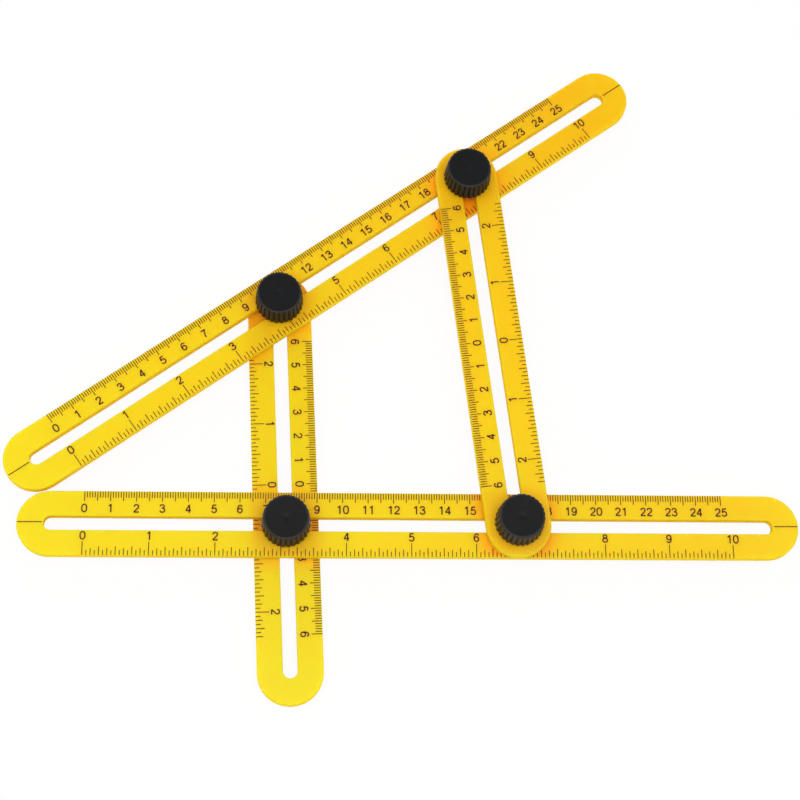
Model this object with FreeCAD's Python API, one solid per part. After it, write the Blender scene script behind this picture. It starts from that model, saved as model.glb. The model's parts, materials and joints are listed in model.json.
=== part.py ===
import FreeCAD, Part
import math
import os

from FreeCAD import Vector

# Angle finder with four slotted arms, clamped where they cross by four knobs.
# Millimetres. The origin is on the axis of the lower left bolt, on the plane that
# the lowest bolt heads rest on. +X runs along the base arm, +Z is up.
# The arms lie in three layers: left arm, then base and tilted arm, then right arm.

# Arms
arm_width = 25.6
arm_thickness = 4.0
arm_edge_chamfer = 0.4
long_arm_length = 306.5
short_arm_length = 176.4
slot_width = 5.6
slot_end_margin = 10.3
slot_edge_chamfer = 0.25

# Where the arms cross. A reach runs from the near end of an arm to a bolt axis.
# A play is what a bolt axis lacks to the centre of the slot's round end. The tilted
# arm is slid down until the round end of it nearly rests on the side of the base arm.
base_reach_of_lower_left = 103.75
lower_bolt_span = 90.65
left_arm_angle = 92.26
left_reach_of_lower_left = 69.75
left_arm_end_play = 0.6
tilted_arm_angle = 35.45
tilted_foot_gap = 0.376
right_arm_foot_play = 0.25
right_arm_head_play = 1.056

# Carriage bolts
bolt_head_diameter = 13.0
bolt_head_height = 2.4
bolt_head_rim = 0.9
bolt_head_flat_diameter = 7.0
bolt_head_bow = 0.27
bolt_length = 16.0
neck_side_clearance = 0.15
neck_corner_reach = 0.3
neck_height = 3.4
stud_diameter = 4.9
stud_tip_chamfer = 0.5

# Washers
washer_diameter = 15.0
washer_thickness = 1.0
washer_bore_clearance = 0.1

# Knobs
knob_diameter = 19.4
knob_height = 9.4
knob_draft_angle = 4.0
knob_top_chamfer = 0.9
knob_wall = 2.1
knob_roof = 2.0
knob_hub_wall = 1.6
knob_rib_count = 6
knob_rib_thickness = 1.0
knob_rib_setback = 1.2
flute_count = 28
flute_width = 1.15
flute_depth = 0.6

# Brass thread inserts
insert_length = 7.0
insert_wall = 1.15
insert_thread_clearance = 0.1
insert_fit_clearance = 0.05
insert_groove_width = 1.2
insert_groove_depth = 0.4
insert_tip_room = 0.3

# Clearance between faces that slide on each other
face_clearance = 0.1

UP = Vector(0, 0, 1)


def heading(angle):
    """Unit vector in the plane of the arms at an angle to +X, in degrees."""
    return Vector(math.cos(math.radians(angle)), math.sin(math.radians(angle)), 0)


def angle_of(vector):
    return math.degrees(math.atan2(vector.y, vector.x))


def span_to_circle(start, direction, centre, radius):
    """Distance from start, along a direction, to where the line leaves a circle."""
    offset = centre - start
    along = offset.dot(direction)
    squared_miss = offset.Length**2 - along**2
    return along + math.sqrt(radius**2 - squared_miss)


# Bolt axes, worked round from the lower left bolt at the origin. The short arms are
# drawn out nearly to the ends of their slots, so these set how far apart their bolts are.
slot_centre_reach = slot_end_margin + slot_width / 2
left_bolt_span = short_arm_length - left_reach_of_lower_left - slot_centre_reach - left_arm_end_play
right_bolt_span = short_arm_length - 2 * slot_centre_reach - right_arm_foot_play - right_arm_head_play
lower_left = Vector(0, 0, 0)
lower_right = lower_left + heading(0) * lower_bolt_span
upper_left = lower_left + heading(left_arm_angle) * left_bolt_span
upper_bolt_span = span_to_circle(upper_left, heading(tilted_arm_angle), lower_right, right_bolt_span)
upper_right = upper_left + heading(tilted_arm_angle) * upper_bolt_span
foot_drop = upper_left.y - arm_width - tilted_foot_gap
tilted_reach_of_upper_left = arm_width / 2 + foot_drop / math.sin(math.radians(tilted_arm_angle))
right_arm_angle = angle_of(upper_right - lower_right)
right_reach_of_lower_right = slot_centre_reach + right_arm_foot_play

# Heights of the layers
layer_pitch = arm_thickness + face_clearance
low_layer = bolt_head_height + face_clearance
middle_layer = low_layer + layer_pitch
top_layer = middle_layer + layer_pitch


def capsule_face(length, width):
    """Flat face along X with full round ends, centred on the origin."""
    radius = width / 2
    reach = length / 2 - radius
    right_arc = Part.Arc(Vector(reach, -radius, 0), Vector(reach + radius, 0, 0), Vector(reach, radius, 0))
    left_arc = Part.Arc(Vector(-reach, radius, 0), Vector(-reach - radius, 0, 0), Vector(-reach, -radius, 0))
    near_side = Part.makeLine(Vector(-reach, -radius, 0), Vector(reach, -radius, 0))
    far_side = Part.makeLine(Vector(reach, radius, 0), Vector(-reach, radius, 0))
    return Part.Face(Part.Wire([near_side, right_arc.toShape(), far_side, left_arc.toShape()]))


def is_rim_edge(edge, thickness):
    """True for an edge that lies in the top or the bottom face of a flat piece."""
    heights = [vertex.Z for vertex in edge.Vertexes]
    is_level = max(heights) - min(heights) < 1e-6
    return is_level and min(abs(heights[0]), abs(heights[0] - thickness)) < 1e-6


def slotted_arm(length):
    """Arm along X on Z = 0, from X = 0, with a slot that stops short of both ends."""
    rise = UP * arm_thickness
    blank = capsule_face(length, arm_width).extrude(rise)
    blank = blank.makeChamfer(arm_edge_chamfer, [e for e in blank.Edges if is_rim_edge(e, arm_thickness)])
    slot_length = length - 2 * slot_end_margin
    slotted = blank.cut(capsule_face(slot_length, slot_width).extrude(rise))
    slot_reach = slot_width / 2 + slot_edge_chamfer
    slot_rims = []
    for edge in slotted.Edges:
        if is_rim_edge(edge, arm_thickness) and edge.BoundBox.YMax < slot_reach and edge.BoundBox.YMin > -slot_reach:
            slot_rims.append(edge)
    arm = slotted.makeChamfer(slot_edge_chamfer, slot_rims)
    arm.translate(Vector(length / 2, 0, 0))
    return arm


def place_arm(arm, crossing, reach, angle, height):
    """Turn an arm to its angle and set the point at a reach from its end over a crossing."""
    arm = arm.copy()
    arm.rotate(Vector(0, 0, 0), UP, angle)
    arm.translate(crossing - heading(angle) * reach + UP * height)
    return arm


def carriage_bolt():
    """Bolt with its head under Z = 0: shallow head, blunt-cornered square neck and stud."""
    rim_radius = bolt_head_diameter / 2
    flat_radius = bolt_head_flat_diameter / 2
    sag = bolt_head_height - bolt_head_rim
    mid_radius = (rim_radius + flat_radius) / 2
    dome = Part.Arc(
        Vector(rim_radius, 0, -bolt_head_rim),
        Vector(mid_radius + bolt_head_bow, 0, -bolt_head_rim - sag / 2 - bolt_head_bow),
        Vector(flat_radius, 0, -bolt_head_height),
    )
    rim = Part.makeLine(Vector(rim_radius, 0, 0), Vector(rim_radius, 0, -bolt_head_rim))
    rest = Part.makeLine(Vector(flat_radius, 0, -bolt_head_height), Vector(0, 0, -bolt_head_height))
    axis = Part.makeLine(Vector(0, 0, -bolt_head_height), Vector(0, 0, 0))
    top = Part.makeLine(Vector(0, 0, 0), Vector(rim_radius, 0, 0))
    section = Part.Face(Part.Wire([rim, dome.toShape(), rest, axis, top]))
    head = section.revolve(Vector(0, 0, 0), UP, 360)

    neck_side = slot_width - 2 * neck_side_clearance
    corner = Vector(-neck_side / 2, -neck_side / 2, 0)
    neck = Part.makeBox(neck_side, neck_side, neck_height, corner)
    neck = neck.common(Part.makeCylinder(neck_side / 2 + neck_corner_reach, neck_height))

    stud = Part.makeCylinder(stud_diameter / 2, bolt_length)
    tip_edge = [edge for edge in stud.Edges if edge.BoundBox.ZMin > bolt_length - 1e-6]
    stud = stud.makeChamfer(stud_tip_chamfer, tip_edge)
    return head.fuse([neck, stud]).removeSplitter()


def flat_washer():
    """Washer on Z = 0."""
    disc = Part.makeCylinder(washer_diameter / 2, washer_thickness)
    bore = Part.makeCylinder(stud_diameter / 2 + washer_bore_clearance, washer_thickness)
    return disc.cut(bore)


def insert_radius():
    return stud_diameter / 2 + insert_thread_clearance + insert_wall


def thread_insert():
    """Brass insert on Z = 0, grooved round its middle so that the moulding grips it."""
    outside = insert_radius()
    blank = Part.makeCylinder(outside, insert_length)
    groove_ring = Part.makeCylinder(outside, insert_groove_width)
    groove_ring = groove_ring.cut(Part.makeCylinder(outside - insert_groove_depth, insert_groove_width))
    groove_ring.translate(UP * (insert_length - insert_groove_width) / 2)
    bore = Part.makeCylinder(stud_diameter / 2 + insert_thread_clearance, insert_length)
    return blank.cut([groove_ring, bore])


def knob_side_radius(height):
    """Radius of the drafted side at a height above the knob's foot."""
    return knob_diameter / 2 - height * math.tan(math.radians(knob_draft_angle))


def knob_blank():
    """Solid knob without flutes: drafted side and a chamfered top edge."""
    blank = Part.makeCone(knob_diameter / 2, knob_side_radius(knob_height), knob_height)
    top_edge = [edge for edge in blank.Edges if edge.BoundBox.ZMin > knob_height - 1e-6]
    return blank.makeChamfer(knob_top_chamfer, top_edge)


def flute_cutters():
    """V-shaped cutters that follow the drafted side, one for each flute."""
    overcut = flute_depth
    half_mouth = flute_width / 2 * (flute_depth + overcut) / flute_depth
    foot_radius = knob_diameter / 2
    mouth_near = Vector(foot_radius + overcut, -half_mouth, 0)
    mouth_far = Vector(foot_radius + overcut, half_mouth, 0)
    root = Vector(foot_radius - flute_depth, 0, 0)
    profile = Part.Face(Part.makePolygon([mouth_near, mouth_far, root, mouth_near]))
    lean = Vector(knob_side_radius(knob_height) - foot_radius, 0, knob_height)
    cutter = profile.extrude(lean)
    cutters = []
    for index in range(flute_count):
        copy = cutter.copy()
        copy.rotate(Vector(0, 0, 0), UP, 360 * index / flute_count)
        cutters.append(copy)
    return cutters


def knob_hollow():
    """The moulded hollow under the knob: a ring between wall and hub, parted by ribs."""
    depth = knob_height - knob_roof
    hub_radius = insert_radius() + insert_fit_clearance + knob_hub_wall
    roof_radius = knob_side_radius(depth) - knob_wall
    hollow = Part.makeCone(knob_diameter / 2 - knob_wall, roof_radius, depth)
    hollow = hollow.cut(Part.makeCylinder(hub_radius, depth))
    ribs = []
    for index in range(knob_rib_count):
        corner = Vector(0, -knob_rib_thickness / 2, knob_rib_setback)
        rib = Part.makeBox(knob_diameter / 2, knob_rib_thickness, depth, corner)
        rib.rotate(Vector(0, 0, 0), UP, 360 * index / knob_rib_count)
        ribs.append(rib)
    return hollow.cut(ribs)


def fluted_knob():
    """Knob on Z = 0 with its underside hollow and a blind bore for the insert."""
    pocket_depth = insert_length + insert_tip_room
    pocket = Part.makeCylinder(insert_radius() + insert_fit_clearance, pocket_depth)
    fluted = knob_blank().cut(flute_cutters())
    return fluted.cut([knob_hollow(), pocket])


def placed(shape, crossing, height, angle=0):
    shape = shape.copy()
    shape.rotate(Vector(0, 0, 0), UP, angle)
    shape.translate(crossing + UP * height)
    return shape


def crossing_hardware(name, crossing, lower_arm_height, lower_arm_angle):
    """Bolt, washer, insert and knob of one crossing, stacked through two arms."""
    washer_height = lower_arm_height + 2 * layer_pitch
    knob_seat = washer_height + washer_thickness + face_clearance
    return {
        "bolt_" + name: placed(carriage_bolt(), crossing, lower_arm_height - face_clearance, lower_arm_angle),
        "washer_" + name: placed(flat_washer(), crossing, washer_height),
        "insert_" + name: placed(thread_insert(), crossing, knob_seat),
        "knob_" + name: placed(fluted_knob(), crossing, knob_seat),
    }


def build_nodes():
    long_arm = slotted_arm(long_arm_length)
    short_arm = slotted_arm(short_arm_length)
    nodes = {
        "base_arm": place_arm(long_arm, lower_left, base_reach_of_lower_left, 0, middle_layer),
        "tilted_arm": place_arm(
            long_arm, upper_left, tilted_reach_of_upper_left, tilted_arm_angle, middle_layer
        ),
        "left_arm": place_arm(short_arm, lower_left, left_reach_of_lower_left, left_arm_angle, low_layer),
        "right_arm": place_arm(
            short_arm, lower_right, right_reach_of_lower_right, right_arm_angle, top_layer
        ),
    }
    nodes.update(crossing_hardware("lower_left", lower_left, low_layer, left_arm_angle))
    nodes.update(crossing_hardware("upper_left", upper_left, low_layer, left_arm_angle))
    nodes.update(crossing_hardware("upper_right", upper_right, middle_layer, tilted_arm_angle))
    nodes.update(crossing_hardware("lower_right", lower_right, middle_layer, 0))
    return nodes


os.makedirs("parts", exist_ok=True)
for node_name, node_shape in build_nodes().items():
    node_shape.exportStep("parts/" + node_name + ".step")
    print(node_name, "volume", round(node_shape.Volume, 1), "solids", len(node_shape.Solids), node_shape.isValid())
print("upper right bolt", upper_right, "upper span", upper_bolt_span, "right arm angle", right_arm_angle)
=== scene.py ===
import json
import math
import bmesh
import bpy
from mathutils import Matrix, Vector

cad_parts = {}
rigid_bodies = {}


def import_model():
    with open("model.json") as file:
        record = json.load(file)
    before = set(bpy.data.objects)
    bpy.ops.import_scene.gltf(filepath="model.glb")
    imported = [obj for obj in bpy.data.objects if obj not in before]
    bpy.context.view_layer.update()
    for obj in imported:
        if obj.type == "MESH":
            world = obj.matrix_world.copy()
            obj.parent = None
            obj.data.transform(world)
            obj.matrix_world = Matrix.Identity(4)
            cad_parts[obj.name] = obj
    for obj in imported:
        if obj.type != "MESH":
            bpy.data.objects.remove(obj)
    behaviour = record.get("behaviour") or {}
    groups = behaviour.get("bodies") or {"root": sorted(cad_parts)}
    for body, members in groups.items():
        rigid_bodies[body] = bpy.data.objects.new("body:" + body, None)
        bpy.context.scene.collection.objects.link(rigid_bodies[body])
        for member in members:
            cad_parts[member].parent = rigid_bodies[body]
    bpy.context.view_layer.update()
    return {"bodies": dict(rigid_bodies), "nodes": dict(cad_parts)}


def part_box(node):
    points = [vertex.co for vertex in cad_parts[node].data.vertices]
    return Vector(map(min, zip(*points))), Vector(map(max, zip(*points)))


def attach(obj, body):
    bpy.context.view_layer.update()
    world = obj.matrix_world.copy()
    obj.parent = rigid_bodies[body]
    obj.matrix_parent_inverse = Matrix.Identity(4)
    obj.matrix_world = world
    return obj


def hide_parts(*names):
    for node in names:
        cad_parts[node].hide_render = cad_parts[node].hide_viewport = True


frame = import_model()
print("frame loaded")

mm = 0.001
inch = 25.4 * mm
sides = ("lower_left", "upper_left", "upper_right", "lower_right")


class Wire:  # one output of a node tree, for use in sums

    def __init__(self, tree, socket=None):
        self.tree = tree
        self.socket = socket

    def node(self, kind, settings=None, inputs=None, output=0):
        made = self.tree.nodes.new(kind)
        for name, value in (settings or {}).items():
            setattr(made, name, value)
        for name, value in (inputs or {}).items():
            if isinstance(value, Wire):
                self.tree.links.new(value.socket, made.inputs[name])
            else:
                made.inputs[name].default_value = value
        return Wire(self.tree, made.outputs[output]) if made.outputs else None

    def maths(self, operation, first, second=0.0, clamp=False):
        settings = {"operation": operation, "use_clamp": clamp}
        return self.node("ShaderNodeMath", settings, {0: first, 1: second})

    def __add__(self, other):
        return self.maths("ADD", self, other)

    def __radd__(self, other):
        return self.maths("ADD", other, self)

    def __sub__(self, other):
        return self.maths("SUBTRACT", self, other)

    def __rsub__(self, other):
        return self.maths("SUBTRACT", other, self)

    def __mul__(self, other):
        return self.maths("MULTIPLY", self, other)

    def __rmul__(self, other):
        return self.maths("MULTIPLY", other, self)

    def __pow__(self, other):
        return self.maths("POWER", self, other)

    def __rpow__(self, other):
        return self.maths("POWER", other, self)

    def __abs__(self):
        return self.maths("ABSOLUTE", self)

    def clamped(self):  # kept between 0 and 1
        return self.maths("ADD", self, 0.0, clamp=True)

    def atLeast(self, least):
        return self.maths("MAXIMUM", self, least)

    def part(self, axis):  # one coordinate of a vector
        return self.node("ShaderNodeSeparateXYZ", None, {"Vector": self}, axis)

    def blend(self, low, high):  # this number picks a colour between two
        return self.node("ShaderNodeMix", {"data_type": "RGBA"}, {0: self, 6: low, 7: high}, 2)

    def stretched(self, scale):
        return self.node("ShaderNodeVectorMath", {"operation": "MULTIPLY"}, {0: self, 1: scale})

    def noise(self, size, detail, roughness=0.5, distortion=0.0):  # size of a blob in metres
        values = {
            "Vector": self,
            "Scale": 1 / size,
            "Detail": detail,
            "Roughness": roughness,
            "Distortion": distortion,
        }
        return self.node("ShaderNodeTexNoise", None, values)

    def ramp(self, low, high):  # eases from 0 at low to 1 at high
        eased = {"clamp": True, "interpolation_type": "SMOOTHSTEP"}
        return self.node("ShaderNodeMapRange", eased, {0: self, 1: low, 2: high, 3: 0.0, 4: 1.0})

    def turnedInto(self, origin, turn):  # a place, seen from an origin and a turn about Z
        seen = {"Vector": self, "Location": origin, "Rotation": (0, 0, math.radians(turn))}
        return self.node("ShaderNodeMapping", {"vector_type": "TEXTURE"}, seen)


def startMaterial(name):
    material = bpy.data.materials.new(name)
    material.use_nodes = True
    material.node_tree.nodes.clear()
    return material, Wire(material.node_tree)


def finishMaterial(start, shader):
    start.node("ShaderNodeOutputMaterial", None, {"Surface": shader})


def colour(red, green, blue):
    return (red, green, blue, 1.0)


def addGrain(start, finish, grain):
    # fine grain, on edges that catch the light as if rounded where the finish has a rounding
    surface = {"Strength": finish["grainStrength"], "Distance": finish["grainDepth"], "Height": grain}
    if "edgeRounding" in finish:
        samples = {"samples": finish["edgeSamples"]}
        surface["Normal"] = start.node("ShaderNodeBevel", samples, {"Radius": finish["edgeRounding"]})
    return start.node("ShaderNodeBump", None, surface)


armSizes = {
    "width": 25.6 * mm,
    "rim": 0.4 * mm,
    "slotWidth": 5.6 * mm,
    "slotMargin": 10.3 * mm,  # slot end to arm end
    "longLength": 306.5 * mm,
    "shortLength": 176.4 * mm,
}

armDetails = {  # layer from below, heading in degrees, length, and shift of the centre line
    "base_arm": {"layer": 1, "turn": 0.0, "long": True, "centreShift": 0.3 * mm},
    "tilted_arm": {"layer": 1, "turn": 35.45, "long": True, "centreShift": 0.0},
    "left_arm": {"layer": 0, "turn": -87.74, "long": False},
    "right_arm": {"layer": 2, "turn": 96.5588, "long": False},
}

# In every finish a noise is its blob size, detail, roughness and distortion, a fade is where
# it starts and ends, and a spread is how much a noise adds.
armFinish = {
    "lemon": colour(0.865, 0.685, 0.006),
    "amber": colour(0.870, 0.485, 0.004),
    "knobShadeTint": colour(1.00, 0.520, 0.004),  # painted shade and painted light close to a knob: the deeper orange of the knob's shadow, with red lifted against the darkening
    "crossingShadeTint": colour(1.00, 0.290, 0.002),  # painted shade where one arm lies over another, standing in for light that has passed through two arms
    # painted shade: the upright walls are painted a deeper orange than the faces
    "wall": colour(1.00, 0.600, 0.005),
    "warmth": 0.23,  # from lemon to amber at the origin, and its growth for each metre
    "warmthAlongX": 1.55,
    "warmthAlongY": 2.60,
    "mottle": 0.10,
    "mottleNoise": (9 * mm, 4.0, 0.55),
    # painted light: how much paler lemon the arm's ends are painted
    "endPaintedLight": 0.25,
    "underShade": (0.60, 0.85),  # painted shade of the lowest and middle arms below another
    "underFade": 8 * mm,  # how far it shows past the upper arm's edge
    "overShade": 0.22,
    "overFade": 4 * mm,
    "slotFade": 2.0 * mm,
    "slotRelief": 0.5,
    "undersideShade": 0.45,  # share of the painted knob and crossing shade that shows from below
    "undersideFade": (-0.5, 0.0),  # by how far up the surface faces
    "wallFade": (0.3, 0.9),  # by how little it faces up or down
    # painted shade round each knob: its weight, and the distances where it starts and is full
    "knobShadeWeight": 0.85,
    "knobShadeFade": (17 * mm, 9.5 * mm),
    "roughness": 0.36,
    "wallRoughness": 0.35,  # more than on the faces
    "smearSpread": 0.12,
    "smearNoise": (14 * mm, 5.0, 0.6, 1.2),
    "streakSpread": 0.08,
    "streakNoise": (0.5 * mm, 3.0),
    "streakStretch": (0.06, 1.0, 1.0),  # smaller draws them out along the arm
    "shine": 0.18,
    "refraction": 1.5,
    "glow": 0.7,  # share of light that scatters through the plastic
    "glowRadius": (9 * mm, 4 * mm, 0.4 * mm),
    "grainNoise": (0.35 * mm, 2.0),
    "waveNoise": (3 * mm, 2.0),
    "waveHeight": 2.0,  # against the grain's 1
    "streakHeight": 0.6,
    "grainDepth": 0.012 * mm,
    "grainStrength": 0.35,
    "edgeRounding": 0.25 * mm,
    "edgeSamples": 4,
}


def placeOn(start, body, origin, turn=0.0):
    # where a point lies as one body sees it, wherever that body has moved to
    seen = start.node("ShaderNodeTexCoord", {"object": frame["bodies"][body]}, None, "Object")
    return seen.turnedInto(origin, turn)


def middleOf(node):
    low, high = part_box(node)
    return (low + high) / 2


def armLength(arm):
    return armSizes["longLength" if armDetails[arm]["long"] else "shortLength"]


def overlapWith(start, arm, fade):
    # 1 over or under another arm, fading out past its edge
    place = placeOn(start, arm, middleOf(arm), armDetails[arm]["turn"])
    half = armSizes["width"] / 2
    beyond = (abs(place.part(0)) - (armLength(arm) / 2 - half)).atLeast(0.0)
    across = abs(place.part(1))
    reach = (beyond * beyond + across * across) ** 0.5
    return reach.ramp(half + fade, half - fade / 2)


def overSlot(start, arm):
    place = placeOn(start, arm, middleOf(arm), armDetails[arm]["turn"])
    edge = armSizes["slotWidth"] / 2
    return abs(place.part(1)).ramp(edge + armFinish["slotFade"], edge - armFinish["slotFade"])


def crossingShade(start, arm):
    # painted shade where arms cross: arms below another are painted deeper orange; an arm above gets less,
    # least over the other's slot
    layer = armDetails[arm]["layer"]
    warmth = []
    for other in armDetails:
        if armDetails[other]["layer"] == layer + 1:
            below = armFinish["underShade"][layer]
            warmth.append(overlapWith(start, other, armFinish["underFade"]) * below)
        elif armDetails[other]["layer"] == layer - 1:
            relief = 1 - overSlot(start, other) * armFinish["slotRelief"]
            above = overlapWith(start, other, armFinish["overFade"]) * relief
            warmth.append(above * armFinish["overShade"])
    return sum(warmth)


# 1 close to a knob, 0 further off: the mask of the painted shade round each knob
def nearKnob(start, side):
    place = placeOn(start, "knob_" + side, middleOf("knob_" + side))
    across, up = place.part(0), place.part(1)
    distance = (across * across + up * up) ** 0.5
    return distance.ramp(*armFinish["knobShadeFade"])


def makeArmPlastic(arm):
    material, start = startMaterial("armPlastic_" + arm)
    finish = armFinish
    place = start.node("ShaderNodeTexCoord", None, None, "Object")
    lengthwise = place.turnedInto(middleOf(arm), armDetails[arm]["turn"])
    mottle = place.noise(*finish["mottleNoise"]) - 0.5
    warmth = place.part(0) * finish["warmthAlongX"] + place.part(1) * finish["warmthAlongY"]
    warmth = warmth + mottle * (2 * finish["mottle"]) + finish["warmth"]
    # painted light: the ends are painted paler, as if lit through the end's rim
    tip = armLength(arm) / 2
    ends = abs(lengthwise.part(0)).ramp(tip - armSizes["width"], tip - armSizes["rim"])
    warmth = warmth - ends * finish["endPaintedLight"]
    body = warmth.clamped().blend(finish["lemon"], finish["amber"])
    facing = start.node("ShaderNodeNewGeometry", None, None, "Normal").part(2)
    above = facing.ramp(*finish["undersideFade"]) * (1 - finish["undersideShade"])
    above = above + finish["undersideShade"]
    # painted shade round the knobs, deeper orange with red lifted, weaker on faces seen from below
    knobShade = sum(nearKnob(start, side) for side in sides) * finish["knobShadeWeight"]
    body = (knobShade * above).clamped().blend(body, finish["knobShadeTint"])
    # painted shade where the arms cross, weaker on faces seen from below
    body = (crossingShade(start, arm) * above).clamped().blend(body, finish["crossingShadeTint"])
    # painted shade on the upright walls, which are also rougher
    upright = (1 - abs(facing)).ramp(*finish["wallFade"])
    body = upright.blend(body, finish["wall"])
    streaks = lengthwise.stretched(finish["streakStretch"]).noise(*finish["streakNoise"])
    smears = place.noise(*finish["smearNoise"])
    smoothest = finish["roughness"] - (finish["smearSpread"] + finish["streakSpread"]) / 2
    rough = smears * finish["smearSpread"] + streaks * finish["streakSpread"] + smoothest
    rough = rough + upright * finish["wallRoughness"]
    grain = place.noise(*finish["grainNoise"]) + place.noise(*finish["waveNoise"]) * finish["waveHeight"]
    grain = grain + streaks * finish["streakHeight"]
    shader = start.node("ShaderNodeBsdfPrincipled", None, {
        "Base Color": body,
        "Roughness": rough,
        "IOR": finish["refraction"],
        "Specular IOR Level": finish["shine"],
        "Subsurface Weight": finish["glow"],
        "Subsurface Radius": finish["glowRadius"],
        "Subsurface Scale": 1.0,
        "Normal": addGrain(start, finish, grain),
    })
    finishMaterial(start, shader)
    return material


knobLow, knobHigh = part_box("knob_lower_left")
knobShape = {
    "radius": (knobHigh.x - knobLow.x) / 2,  # over the ridges, at the foot
    "height": knobHigh.z - knobLow.z,
    "draft": 4.0,  # degrees
    "edgeRadius": 0.65 * mm,
    "edgeSteps": 7,
    "edgeSoftness": 0.10 * mm,
    "footBevel": 0.15 * mm,
    "ridges": 28,
    "ridgeRadius": 1.1 * mm,
    "columnsPerRidge": 12,
    "sideRings": (0.3, 0.6, 0.9),  # shares of the straight side's height
    "dish": 0.12 * mm,
    "dishRings": (0.93, 0.8, 0.55, 0.3),  # shares of the top's radius
    "gateRadius": 0.9 * mm,
    "gateFloorRadius": 0.72 * mm,
    "gateDepth": 0.05 * mm,
    "wall": 2.1 * mm,
    "roof": 2.0 * mm,
    "hubRadius": 5.35 * mm,
    "boreRadius": 3.75 * mm,
    "boreDepth": 7.3 * mm,
    "ribs": 6,
    "ribWidth": 1.0 * mm,
    "ribSetback": 1.2 * mm,
    "ribColumns": 4,  # from a rib's middle to its side
}

knobFinish = {
    "black": colour(0.0045, 0.0049, 0.0057),
    # paler colour shared by real dust and specks and the painted highlight on the ridge tips
    "dustAndTipHighlight": colour(0.017, 0.016, 0.015),
    # painted highlight: the rounded top edge is painted paler
    "rim": colour(0.030, 0.029, 0.027),
    "rimHighlightDepth": 0.05 * mm,  # below the top, where the painted highlight on the rim is palest
    "rimHighlightFade": (-0.5 * mm, 0.1 * mm),  # from the edge of the flat top
    "tipDepth": 0.25 * mm,
    "tipHighlight": 0.5,
    "tipPolish": 0.08,
    "dustSpread": 0.2,
    "dustNoise": (2.5 * mm, 6.0, 0.65),
    "dustFade": (0.45, 0.85),
    "speckSpread": 0.12,
    "speckNoise": (0.5 * mm, 3.0),
    "speckFade": (0.6, 0.8),
    "roughness": 0.44,
    "roughSpread": 0.16,
    "roughNoise": (4 * mm, 4.0),
    "shine": 0.22,
    "refraction": 1.4,
    "grainNoise": (0.30 * mm, 3.0, 0.6),
    "grainDepth": 0.04 * mm,
    "grainStrength": 0.6,
}


def makeKnobPlastic():
    # the knob's own origin is on its axis, so the ridges' tips are found by their radius
    material, start = startMaterial("knobPlastic")
    finish = knobFinish
    place = start.node("ShaderNodeTexCoord", None, None, "Object")
    across, up, height = place.part(0), place.part(1), place.part(2)
    radius = (across * across + up * up) ** 0.5 + height * math.tan(math.radians(knobShape["draft"]))
    tips = radius.ramp(knobShape["radius"] - finish["tipDepth"], knobShape["radius"])
    top = knobShape["height"]
    # painted highlight on the rounded top edge, near the flat top
    rim = height.ramp(top - knobShape["edgeRadius"], top - finish["rimHighlightDepth"])
    flat = knobShape["radius"] - knobShape["edgeRadius"]
    rim = rim * radius.ramp(*(flat + fade for fade in finish["rimHighlightFade"]))
    dust = place.noise(*finish["dustNoise"]).ramp(*finish["dustFade"])
    specks = place.noise(*finish["speckNoise"]).ramp(*finish["speckFade"])
    # the ridge tips get a painted highlight against darker grooves; dust and specks are real dirt
    wear = tips * finish["tipHighlight"] + dust * finish["dustSpread"] + specks * finish["speckSpread"]
    body = wear.clamped().blend(finish["black"], finish["dustAndTipHighlight"])
    body = rim.blend(body, finish["rim"])
    smoothest = finish["roughness"] - finish["roughSpread"] / 2
    rough = place.noise(*finish["roughNoise"]) * finish["roughSpread"] + smoothest
    rough = rough - tips * finish["tipPolish"]
    shader = start.node("ShaderNodeBsdfPrincipled", None, {
        "Base Color": body,
        "Roughness": rough,
        "IOR": finish["refraction"],
        "Specular IOR Level": finish["shine"],
        "Normal": addGrain(start, finish, place.noise(*finish["grainNoise"])),
    })
    finishMaterial(start, shader)
    return material


zincFinish = {
    "clean": colour(0.64, 0.64, 0.62),
    "tarnish": colour(0.54, 0.54, 0.51),
    "smoothest": 0.22,
}

brassFinish = {
    "clean": colour(0.80, 0.58, 0.25),
    "tarnish": colour(0.60, 0.40, 0.15),
    "smoothest": 0.18,
}

metalWear = {  # the same on every metal
    "tarnishNoise": (1.6 * mm, 5.0, 0.6),
    "tarnishFade": (0.35, 0.75),
    "roughSpread": 0.25,
    "roughNoise": (0.8 * mm, 4.0),
    "grainNoise": (0.12 * mm, 2.0),
    "grainDepth": 0.01 * mm,
    "grainStrength": 0.4,
    "edgeRounding": 0.12 * mm,
    "edgeSamples": 4,
}


def makeMetal(name, finish):
    material, start = startMaterial(name)
    wear = metalWear
    place = start.node("ShaderNodeTexCoord", None, None, "Object")
    cloud = place.noise(*wear["tarnishNoise"]).ramp(*wear["tarnishFade"])
    shader = start.node("ShaderNodeBsdfPrincipled", None, {
        "Base Color": cloud.blend(finish["clean"], finish["tarnish"]),
        "Metallic": 1.0,
        "Roughness": place.noise(*wear["roughNoise"]) * wear["roughSpread"] + finish["smoothest"],
        "Normal": addGrain(start, wear, place.noise(*wear["grainNoise"])),
    })
    finishMaterial(start, shader)
    return material


inkFinish = {
    "dark": colour(0.075, 0.014, 0.005),
    "thin": colour(0.190, 0.045, 0.009),
    "thinNoise": (2.2 * mm, 5.0, 0.65),
    "thinFade": (0.35, 0.75),
    "smoothest": 0.5,
    "roughSpread": 0.15,
    "roughNoise": (1.5 * mm, 3.0),
    "shine": 0.2,
}


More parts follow.
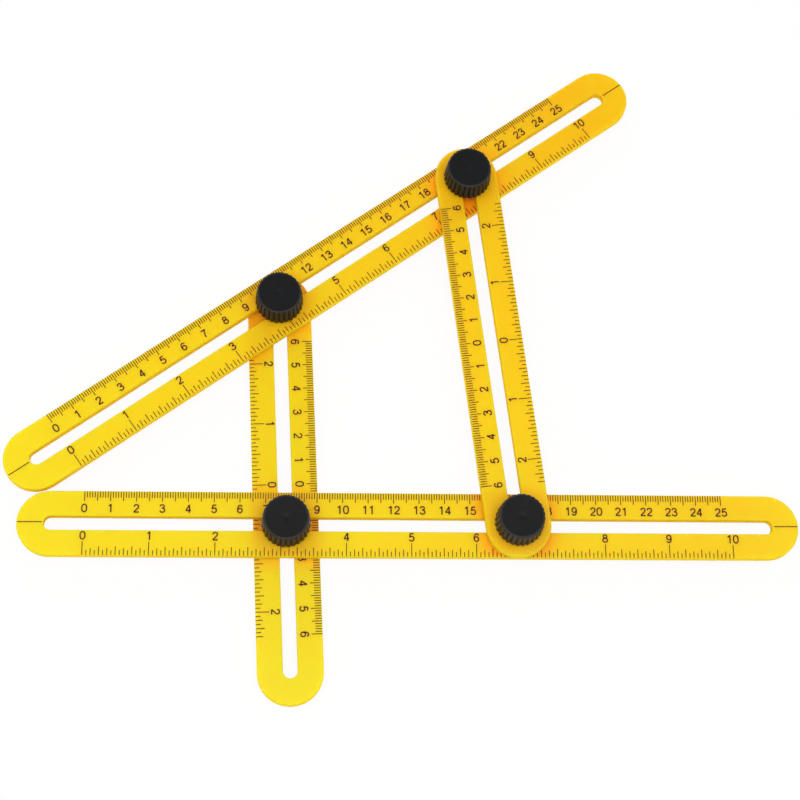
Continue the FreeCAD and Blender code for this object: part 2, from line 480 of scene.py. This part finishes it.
def makeInk():
    material, start = startMaterial("scaleInk")
    finish = inkFinish
    place = start.node("ShaderNodeTexCoord", None, None, "Object")
    thin = place.noise(*finish["thinNoise"]).ramp(*finish["thinFade"])
    shader = start.node("ShaderNodeBsdfPrincipled", None, {
        "Base Color": thin.blend(finish["dark"], finish["thin"]),
        "Roughness": place.noise(*finish["roughNoise"]) * finish["roughSpread"] + finish["smoothest"],
        "Specular IOR Level": finish["shine"],
    })
    finishMaterial(start, shader)
    return material


knobPlastic = makeKnobPlastic()
zincSteel = makeMetal("zincSteel", zincFinish)
insertBrass = makeMetal("insertBrass", brassFinish)
scaleInk = makeInk()
print("finishes made")


def dress(node, material):
    slots = frame["nodes"][node].data.materials
    slots.clear()
    slots.append(material)


for arm in armDetails:
    dress(arm, makeArmPlastic(arm))
for side in sides:
    dress("washer_" + side, zincSteel)
    dress("insert_" + side, insertBrass)
print("arms, washers and inserts dressed")


def spin(mesh, radii, level, angles):
    # one ring of points at a level, from a radius and an angle for each
    ring = []
    for radius, angle in zip(radii, angles):
        ring.append(mesh.verts.new((radius * math.cos(angle), radius * math.sin(angle), level)))
    return ring


def joinRings(mesh, rings):
    for lower, upper in zip(rings, rings[1:]):
        for column in range(len(lower)):
            after = (column + 1) % len(lower)
            mesh.faces.new((lower[column], lower[after], upper[after], upper[column]))


def capRing(mesh, ring, height):
    middle = mesh.verts.new((0, 0, height))
    for column in range(len(ring)):
        mesh.faces.new((ring[column], ring[(column + 1) % len(ring)], middle))


def addPiece(mesh, name, origin, material, sharpest=35.0):
    # the finished mesh, smooth but for its sharp edges, with its own origin at a place
    bmesh.ops.recalc_face_normals(mesh, faces=mesh.faces)
    for face in mesh.faces:
        face.smooth = True
    for edge in mesh.edges:
        edge.smooth = edge.calc_face_angle(0.0) < math.radians(sharpest)
    data = bpy.data.meshes.new(name)
    mesh.to_mesh(data)
    mesh.free()
    data.materials.append(material)
    piece = bpy.data.objects.new(name, data)
    bpy.context.scene.collection.objects.link(piece)
    piece.location = origin
    return piece


def footOf(node):
    low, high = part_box(node)
    return Vector(((low.x + high.x) / 2, (low.y + high.y) / 2, low.z))


def knobSideRadius(height):
    return knobShape["radius"] - height * math.tan(math.radians(knobShape["draft"]))


def ridgedRadius(height, angle):
    # distance from the axis to the half-round ridges, measured at an angle
    pitch = math.tau / knobShape["ridges"]
    fromTop = (angle % pitch) - pitch / 2
    centre = knobSideRadius(height) - knobShape["ridgeRadius"]
    miss = centre * math.sin(fromTop)
    return centre * math.cos(fromTop) + math.sqrt(knobShape["ridgeRadius"] ** 2 - miss**2)


def softLeast(first, second, softness):
    return (first + second - math.sqrt((first - second) ** 2 + softness**2)) / 2


def makeKnob(side):
    shape = knobShape
    mesh = bmesh.new()
    count = shape["ridges"] * shape["columnsPerRidge"]
    angles = [math.tau * column / count for column in range(count)]
    height, rounding, bevel = shape["height"], shape["edgeRadius"], shape["footBevel"]
    flatRadius = knobSideRadius(height) - rounding
    outside = []
    for level in (0.0, bevel):
        radii = [ridgedRadius(level, angle) - (bevel - level) for angle in angles]
        outside.append(spin(mesh, radii, level, angles))
    for share in shape["sideRings"]:
        level = share * (height - rounding)
        radii = [ridgedRadius(level, angle) for angle in angles]
        outside.append(spin(mesh, radii, level, angles))
    for step in range(shape["edgeSteps"] + 1):
        turn = math.pi / 2 * step / shape["edgeSteps"]
        level = height - rounding + rounding * math.sin(turn)
        edge = flatRadius + rounding * math.cos(turn)
        radii = [softLeast(ridgedRadius(level, angle), edge, shape["edgeSoftness"]) for angle in angles]
        outside.append(spin(mesh, radii, level, angles))
    for share in shape["dishRings"]:
        level = height - shape["dish"] * (1 - share**2)
        outside.append(spin(mesh, [flatRadius * share] * count, level, angles))
    gateTop = height - shape["dish"]
    gateFloor = gateTop - shape["gateDepth"]
    outside.append(spin(mesh, [shape["gateRadius"]] * count, gateTop, angles))
    outside.append(spin(mesh, [shape["gateFloorRadius"]] * count, gateFloor, angles))
    joinRings(mesh, outside)
    capRing(mesh, outside[-1], gateFloor)
    hollowKnob(mesh, outside[0], count)
    piece = addPiece(mesh, "ridged_knob_" + side, footOf("knob_" + side), knobPlastic)
    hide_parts("knob_" + side)
    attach(piece, "knob_" + side)


def hollowKnob(mesh, foot, count):
    # the moulded hollow under the knob, its ribs, and the bore that holds the insert
    shape = knobShape
    sector = count // shape["ribs"]
    ribColumns = shape["ribColumns"]
    roof = shape["height"] - shape["roof"]
    roofRadius = knobSideRadius(roof) - shape["wall"]
    setbackShare = shape["ribSetback"] / roof
    footRadius = shape["radius"] - shape["wall"]
    setbackRadius = footRadius + (roofRadius - footRadius) * setbackShare

    def fromRib(column):  # in columns, from the middle of the nearest rib
        return (column + sector // 2) % sector - sector // 2

    def columnAngle(column, radius):
        # columns close up to the parallel sides of each rib
        offset = fromRib(column)
        edge = math.asin(shape["ribWidth"] / 2 / radius)
        if abs(offset) <= ribColumns:
            turn = edge * offset / ribColumns
        else:
            share = (abs(offset) - ribColumns) / (sector / 2 - ribColumns)
            turn = math.copysign(edge + (math.pi / shape["ribs"] - edge) * share, offset)
        return math.tau * (column - offset) / count + turn

    def ring(radius, level):
        turns = [columnAngle(column, radius) for column in range(count)]
        return spin(mesh, [radius] * count, level, turns)

    outerFoot, outerMid = ring(footRadius, 0.0), ring(setbackRadius, shape["ribSetback"])
    outerRoof, hubRoof = ring(roofRadius, roof), ring(shape["hubRadius"], roof)
    hubMid, hubFoot = ring(shape["hubRadius"], shape["ribSetback"]), ring(shape["hubRadius"], 0.0)
    boreFoot, boreRoof = ring(shape["boreRadius"], 0.0), ring(shape["boreRadius"], shape["boreDepth"])
    joinRings(mesh, [foot, outerFoot, outerMid])
    joinRings(mesh, [hubMid, hubFoot, boreFoot, boreRoof])
    capRing(mesh, boreRoof, shape["boreDepth"])
    rows = [outerMid, outerRoof, hubRoof, hubMid]
    for column in range(count):
        after = (column + 1) % count
        if min(abs(fromRib(column)), abs(fromRib(after))) >= ribColumns:  # a pocket between ribs
            for here, there in zip(rows, rows[1:]):
                mesh.faces.new((here[column], here[after], there[after], there[column]))
        else:
            mesh.faces.new((outerMid[column], outerMid[after], hubMid[after], hubMid[column]))
        if abs(fromRib(column)) == ribColumns:
            mesh.faces.new([row[column] for row in rows])
    loose = [vertex for row in (outerRoof, hubRoof) for vertex in row if not vertex.link_faces]
    bmesh.ops.delete(mesh, geom=loose, context="VERTS")


boltShape = {
    "columns": 40,
    "domeBow": 0.27 * mm,
    "domeSteps": 8,
    "headRadius": 6.5 * mm,
    "headFlat": 3.5 * mm,
    "headHeight": 2.4 * mm,
    "headRim": 0.9 * mm,
    "rimBevel": 0.15 * mm,
    "neckSide": 5.3 * mm,
    "neckCorner": 2.95 * mm,  # from the axis
    "neckHeight": 3.4 * mm,
    "neckLiesAlong": {
        "lower_left": "left_arm",
        "upper_left": "left_arm",
        "upper_right": "tilted_arm",
        "lower_right": "base_arm",
    },
    "studRadius": 2.45 * mm,
    "threadDepth": 0.42 * mm,
    "threadPitch": 0.8 * mm,
    "threadCrest": 0.14,  # shares of half a pitch
    "threadFlank": 0.70,
    "rowsPerTurn": 7,
    "tipChamfer": 0.5 * mm,
}


def threadRadius(height, angle, start, end):
    # crest and root flats joined by straight flanks, run out at the neck and the tip
    shape = boltShape
    phase = (height / shape["threadPitch"] - angle / math.tau) % 1
    fromCrest = abs(phase - 0.5) * 2
    sunk = min(max((fromCrest - shape["threadCrest"]) / shape["threadFlank"], 0), 1)
    depth = sunk * shape["threadDepth"]
    runIn = min((height - start) / shape["threadPitch"], 1)
    return min(shape["studRadius"] - depth * runIn, shape["studRadius"] - shape["tipChamfer"] + end - height)


def makeBolt(side):
    shape = boltShape
    mesh = bmesh.new()
    count = shape["columns"]
    angles = [math.tau * column / count for column in range(count)]
    rings = []

    def ring(radius, level):
        rings.append(spin(mesh, [radius] * count, level, angles))

    low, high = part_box("bolt_" + side)
    top = high.z - low.z
    rimTop = shape["headHeight"]
    rimFoot = rimTop - shape["headRim"]
    for step in range(shape["domeSteps"] + 1):
        share = step / shape["domeSteps"]
        bow = 4 * share * (1 - share) * shape["domeBow"]
        reach = (shape["headRadius"] - shape["headFlat"]) * share
        ring(shape["headFlat"] + reach + bow, rimFoot * share - bow)
    ring(shape["headRadius"], rimTop - shape["rimBevel"])
    ring(shape["headRadius"] - shape["rimBevel"], rimTop)
    turn = math.radians(armDetails[shape["neckLiesAlong"][side]]["turn"])
    square = []
    for angle in angles:
        reach = max(abs(math.cos(angle - turn)), abs(math.sin(angle - turn)))
        square.append(min(shape["neckSide"] / 2 / reach, shape["neckCorner"]))
    neckTop = rimTop + shape["neckHeight"]
    for level in (rimTop, neckTop):
        rings.append(spin(mesh, square, level, angles))
    ring(shape["studRadius"], neckTop)
    rows = round((top - neckTop) / shape["threadPitch"] * shape["rowsPerTurn"])
    for row in range(1, rows + 1):
        level = neckTop + (top - neckTop) * row / rows
        radii = [threadRadius(level, angle, neckTop, top) for angle in angles]
        rings.append(spin(mesh, radii, level, angles))
    joinRings(mesh, rings)
    capRing(mesh, rings[0], 0.0)
    capRing(mesh, rings[-1], top)
    piece = addPiece(mesh, "threaded_bolt_" + side, footOf("bolt_" + side), zincSteel)
    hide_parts("bolt_" + side)
    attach(piece, "bolt_" + side)


for side in sides:
    makeKnob(side)
    makeBolt(side)
print("knobs and bolts made")


printSizes = {
    "inkHeight": 0.02 * mm,
    "inkDepth": 0.02 * mm,  # how far the ink's mesh reaches into the plastic
    "tickWidth": 0.33 * mm,
    "digitPen": 0.16,  # share of a digit's height
    "digitHeight": 3.4 * mm,
    "digitWidth": 0.64,  # share of a digit's height
    "digitPitch": 0.76,  # share of a digit's height, from one digit to the next
    "digitSmoothness": 5,  # steps from one point of a stroke to the next
    "centimetreDigits": 5.2 * mm,  # arm edge to the top of the digits
    "inchDigits": 0.5 * mm,  # slot edge to the top of the digits
    "millimetreTick": 2.7 * mm,
    "halfCentimetreTick": 4.0 * mm,
    "centimetreTick": 4.2 * mm,
    "sixteenthTick": 2.0 * mm,
    "eighthTick": 2.8 * mm,
    "quarterTick": 3.5 * mm,
    "inchTick": 5.4 * mm,
    "edgeDrop": 0.3 * mm,  # how far a tick runs down the chamfered edge
    "centreLineWidth": 0.38 * mm,
    "centreLineGap": 0.5 * mm,
}

scaleSpans = {  # each scale's zero from the arm's middle, its first mark and its last
    "longCentimetres": (-127.5 * mm, 0, 25),
    "longSixteenths": (-127.64 * mm, 0, 160),
    "shortCentimetres": (1.2 * mm, -6, 6),
    "shortSixteenths": (1.2 * mm, -38, 38),
}

# Centre lines of the digits in a box one high, as open and closed strokes; a closed one
# ends with True. A stroke is drawn as a smooth curve through its points.
digitStrokes = {
    "0": [
        ([(0.32, 0.94), (0.50, 0.86), (0.58, 0.66), (0.59, 0.50), (0.58, 0.34), (0.50, 0.14),
          (0.32, 0.06), (0.14, 0.14), (0.06, 0.34), (0.05, 0.50), (0.06, 0.66), (0.14, 0.86)], True),
    ],
    "1": [
        ([(0.39, 0.00), (0.39, 0.50), (0.39, 1.00)], False),
        ([(0.36, 0.93), (0.27, 0.83), (0.13, 0.75)], False),
    ],
    "2": [
        ([(0.07, 0.70), (0.13, 0.86), (0.32, 0.94), (0.52, 0.86), (0.57, 0.70), (0.50, 0.52),
          (0.32, 0.34), (0.15, 0.19), (0.09, 0.06)], False),
        ([(0.04, 0.06), (0.34, 0.06), (0.62, 0.06)], False),
    ],
    "3": [
        ([(0.07, 0.74), (0.14, 0.89), (0.31, 0.94), (0.48, 0.88), (0.54, 0.75), (0.47, 0.60),
          (0.27, 0.54)], False),
        ([(0.27, 0.54), (0.48, 0.50), (0.59, 0.38), (0.58, 0.20), (0.46, 0.09), (0.31, 0.06),
          (0.14, 0.11), (0.06, 0.26)], False),
    ],
    "4": [
        ([(0.46, 0.00), (0.46, 0.50), (0.46, 0.98)], False),
        ([(0.46, 0.95), (0.26, 0.63), (0.05, 0.29)], False),
        ([(0.03, 0.29), (0.34, 0.29), (0.64, 0.29)], False),
    ],
    "5": [
        ([(0.57, 0.93), (0.36, 0.93), (0.15, 0.93)], False),
        ([(0.19, 0.94), (0.14, 0.70), (0.10, 0.48)], False),
        ([(0.10, 0.49), (0.20, 0.58), (0.33, 0.61), (0.50, 0.54), (0.59, 0.36), (0.53, 0.15),
          (0.33, 0.06), (0.15, 0.11), (0.06, 0.24)], False),
    ],
    "6": [
        ([(0.33, 0.60), (0.50, 0.53), (0.58, 0.34), (0.51, 0.14), (0.33, 0.06), (0.15, 0.14),
          (0.08, 0.33), (0.16, 0.53)], True),
        ([(0.08, 0.36), (0.09, 0.62), (0.18, 0.86), (0.35, 0.94), (0.49, 0.89), (0.56, 0.76)], False),
    ],
    "7": [
        ([(0.05, 0.93), (0.32, 0.93), (0.60, 0.93)], False),
        ([(0.58, 0.91), (0.41, 0.68), (0.29, 0.36), (0.24, 0.00)], False),
    ],
    "8": [
        ([(0.32, 0.94), (0.47, 0.88), (0.53, 0.74), (0.46, 0.60), (0.32, 0.55), (0.18, 0.60),
          (0.11, 0.74), (0.17, 0.88)], True),
        ([(0.32, 0.55), (0.51, 0.47), (0.59, 0.30), (0.51, 0.13), (0.32, 0.06), (0.13, 0.13),
          (0.05, 0.30), (0.13, 0.47)], True),
    ],
}


def turnedOver(points):  # a stroke of a 6, as a 9 has it
    return [(printSizes["digitWidth"] - x, 1 - y) for x, y in points]


digitStrokes["9"] = [(turnedOver(points), closed) for points, closed in digitStrokes["6"]]


def smoothed(points, closed):
    # a curve through the points, rounded by the neighbours of each run
    count = len(points)
    runs = count if closed else count - 1
    steps = printSizes["digitSmoothness"]
    curve = []
    for run in range(runs):
        if closed:
            before, start, end, after = (Vector(points[(run + k) % count]) for k in (-1, 0, 1, 2))
        else:
            start, end = Vector(points[run]), Vector(points[run + 1])
            before = Vector(points[run - 1]) if run else start * 2 - end
            after = Vector(points[run + 2]) if run + 2 < count else end * 2 - start
        for step in range(steps):
            t = step / steps
            bend = (end - before) * t + (before * 2 - start * 5 + end * 4 - after) * t**2
            bend += (start * 3 - before - end * 3 + after) * t**3
            curve.append(start + bend / 2)
    if not closed:
        curve.append(Vector(points[-1]))
    return curve


class Print:  # ink laid on the top of one arm, in the arm's own lengthways and crossways lines

    def __init__(self, arm):
        self.mesh = bmesh.new()
        low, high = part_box(arm)
        middle = Vector(((low.x + high.x) / 2, (low.y + high.y) / 2, high.z))
        turn = math.radians(armDetails[arm]["turn"])
        self.frame = Matrix.Translation(middle) @ Matrix.Rotation(turn, 4, "Z")

    def bar(self, left, right, low, high):
        # a closed slab of ink
        rise, sink = printSizes["inkHeight"], -printSizes["inkDepth"]
        corners = [(left, low), (right, low), (right, high), (left, high)]
        tops = [self.mesh.verts.new((x, y, rise)) for x, y in corners]
        feet = [self.mesh.verts.new((x, y, sink)) for x, y in corners]
        self.mesh.faces.new(tops)
        self.mesh.faces.new(feet[::-1])
        joinRings(self.mesh, [feet, tops])

    def tick(self, at, length, side):
        # a tick on the far (1) or near (-1) edge, from the slope of the chamfer inwards
        rise, sink, drop = printSizes["inkHeight"], printSizes["inkDepth"], printSizes["edgeDrop"]
        edge = armSizes["width"] / 2
        rim = edge - armSizes["rim"]
        section = [(edge - length, rise), (rim, rise), (rim + drop, rise - drop)]
        section += [(rim + drop, -sink - drop), (rim, -sink), (edge - length, -sink)]
        half = printSizes["tickWidth"] / 2
        ends = []
        for along in (at - half, at + half):
            ends.append([self.mesh.verts.new((along, across * side, z)) for across, z in section])
        for end in ends:
            self.mesh.faces.new(end)
        joinRings(self.mesh, ends)

    def stroke(self, points, closed, width):
        # a ribbon of ink along a curve, as one closed solid
        rise, sink = printSizes["inkHeight"], -printSizes["inkDepth"]
        count = len(points)
        rows = []
        for k, point in enumerate(points):
            before = points[k - 1] if k or closed else point
            after = points[(k + 1) % count] if k + 1 < count or closed else point
            ahead = (after - before).normalized()
            across = Vector((-ahead.y, ahead.x)) * width / 2
            left, right = point + across, point - across
            corners = [(left, rise), (right, rise), (right, sink), (left, sink)]
            rows.append([self.mesh.verts.new((flat.x, flat.y, z)) for flat, z in corners])
        joinRings(self.mesh, rows + rows[:1] if closed else rows)
        if not closed:
            self.mesh.faces.new(rows[0])
            self.mesh.faces.new(rows[-1][::-1])

    def number(self, text, middle, top):
        height = printSizes["digitHeight"]
        pen = printSizes["digitPen"] * height
        pitch = printSizes["digitPitch"] * height
        left = middle - (pitch * (len(text) - 1) + printSizes["digitWidth"] * height) / 2
        for index, digit in enumerate(text):
            corner = Vector((left + pitch * index, top - height))
            for points, closed in digitStrokes[digit]:
                placed = [corner + point * height for point in smoothed(points, closed)]
                self.stroke(placed, closed, pen)

    def finish(self, name, body):
        bmesh.ops.recalc_face_normals(self.mesh, faces=self.mesh.faces)
        data = bpy.data.meshes.new(name)
        self.mesh.to_mesh(data)
        self.mesh.free()
        data.transform(self.frame)
        data.materials.append(scaleInk)
        piece = bpy.data.objects.new(name, data)
        bpy.context.scene.collection.objects.link(piece)
        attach(piece, body)


def printCentimetres(sheet, zero, first, last):
    # millimetre ticks hang from the far edge of the arm, and numbers stand below them
    for step in range(first * 10, last * 10 + 1):
        at = zero + step * mm
        length = printSizes["millimetreTick"]
        if step % 10 == 0:
            length = printSizes["centimetreTick"]
            numberTop = armSizes["width"] / 2 - printSizes["centimetreDigits"]
            sheet.number(str(abs(step) // 10), at, numberTop)
        elif step % 5 == 0:
            length = printSizes["halfCentimetreTick"]
        sheet.tick(at, length, 1)


def printInches(sheet, zero, first, last):
    # sixteenths stand on the near edge of the arm, and numbers hang under the slot
    for step in range(first, last + 1):
        at = zero + step * inch / 16
        length = printSizes["sixteenthTick"]
        if step % 16 == 0:
            length = printSizes["inchTick"]
            numberTop = -armSizes["slotWidth"] / 2 - printSizes["inchDigits"]
            sheet.number(str(abs(step) // 16), at, numberTop)
        elif step % 4 == 0:
            length = printSizes["quarterTick"]
        elif step % 2 == 0:
            length = printSizes["eighthTick"]
        sheet.tick(at, length, -1)


def printCentreLines(sheet, shift):
    # from the slot's ends to the ends of a long arm
    half = printSizes["centreLineWidth"] / 2
    inner = armSizes["longLength"] / 2 - armSizes["slotMargin"] + printSizes["centreLineGap"]
    outer = armSizes["longLength"] / 2 - armSizes["rim"]
    sheet.bar(-outer, -inner, shift - half, shift + half)
    sheet.bar(inner, outer, shift - half, shift + half)


for arm, details in armDetails.items():
    sheet = Print(arm)
    size = "long" if details["long"] else "short"
    printCentimetres(sheet, *scaleSpans[size + "Centimetres"])
    printInches(sheet, *scaleSpans[size + "Sixteenths"])
    if details["long"]:
        printCentreLines(sheet, details["centreShift"])
    sheet.finish("scale_print_" + arm, arm)
print("scales printed")


studio = {
    "floorSize": 30.0,
    "floorWhite": 0.92,
    "floorShow": 0.91,  # share of plain white that the camera sees on the floor
    "skyLow": 1.0,
    "skyHigh": 0.10,
    "skyFade": (0.05, 0.85),  # from the horizon's 0 to 1 overhead
    "aim": (45 * mm, 60 * mm, 0.0),
    "boxSize": 0.7,
    "boxDistance": 1.1,
    "boxes": {  # compass angle from +X, height angle, watts
        "back": (100, 40, 2.0),
        "left": (185, 60, 2.2),
        "right": (0, 60, 2.1),
        "front": (265, 74, 6.1),
    },
}


def makeFloor():
    edge = studio["floorSize"] / 2
    corners = [(-edge, -edge, 0), (edge, -edge, 0), (edge, edge, 0), (-edge, edge, 0)]
    data = bpy.data.meshes.new("studio_floor")
    data.from_pydata(corners, [], [(0, 1, 2, 3)])
    material, start = startMaterial("floorWhite")
    seen = start.node("ShaderNodeLightPath", None, None, "Is Camera Ray")
    for ray in ("Is Glossy Ray", "Is Transmission Ray"):
        seen = seen + start.node("ShaderNodeLightPath", None, None, ray)
    matt = start.node("ShaderNodeBsdfDiffuse", None, {"Color": colour(*[studio["floorWhite"]] * 3)})
    white = start.node("ShaderNodeEmission", None, {"Color": colour(1, 1, 1), "Strength": 1.0})
    share = seen.clamped() * studio["floorShow"]
    mixed = start.node("ShaderNodeMixShader", None, {0: share, 1: matt, 2: white})
    finishMaterial(start, mixed)
    data.materials.append(material)
    floor = bpy.data.objects.new("studio_floor", data)
    bpy.context.scene.collection.objects.link(floor)


def makeSky():
    world = bpy.data.worlds.new("softStudio")
    bpy.context.scene.world = world
    world.use_nodes = True
    world.node_tree.nodes.clear()
    start = Wire(world.node_tree)
    height = start.node("ShaderNodeTexCoord", None, None, "Generated").part(2)
    level = height.ramp(*studio["skyFade"]) * (studio["skyHigh"] - studio["skyLow"]) + studio["skyLow"]
    camera = start.node("ShaderNodeLightPath", None, None, "Is Camera Ray")
    level = level * (1 - camera) + camera
    sky = start.node("ShaderNodeBackground", None, {"Color": colour(1, 1, 1), "Strength": level})
    start.node("ShaderNodeOutputWorld", None, {"Surface": sky})


def makeSoftboxes():
    for name, (compass, height, watts) in studio["boxes"].items():
        turn, tilt = math.radians(compass), math.radians(height)
        flat = math.cos(tilt) * studio["boxDistance"]
        rise = math.sin(tilt) * studio["boxDistance"]
        offset = Vector((math.cos(turn) * flat, math.sin(turn) * flat, rise))
        lamp = bpy.data.lights.new("softbox_" + name, "AREA")
        lamp.shape = "SQUARE"
        lamp.size = studio["boxSize"]
        lamp.energy = watts
        box = bpy.data.objects.new("softbox_" + name, lamp)
        bpy.context.scene.collection.objects.link(box)
        box.location = Vector(studio["aim"]) + offset
        box.rotation_euler = offset.to_track_quat("Z", "Y").to_euler()


viewpoint = {
    "place": (-2.334 * mm, -177.581 * mm, 675.68 * mm),
    "swing": -11.665,  # degrees: compass, tilt and roll of the camera
    "tilt": 19.38,
    "roll": 11.676,
    "lens": 79.32,
    "sensor": 36,
    "nearest": 10 * mm,
}


def makeCamera():
    data = bpy.data.cameras.new("photographer")
    data.lens = viewpoint["lens"]
    data.sensor_width = viewpoint["sensor"]
    data.clip_start = viewpoint["nearest"]
    camera = bpy.data.objects.new("photographer", data)
    bpy.context.scene.collection.objects.link(camera)
    turns = [("swing", "Z"), ("tilt", "X"), ("roll", "Z")]
    pose = Matrix.Translation(viewpoint["place"])
    for name, axis in turns:
        pose = pose @ Matrix.Rotation(math.radians(viewpoint[name]), 4, axis)
    camera.matrix_world = pose
    bpy.context.scene.camera = camera


makeFloor()
makeSky()
makeSoftboxes()
makeCamera()
bpy.context.scene.view_settings.view_transform = "Standard"
print("studio set")
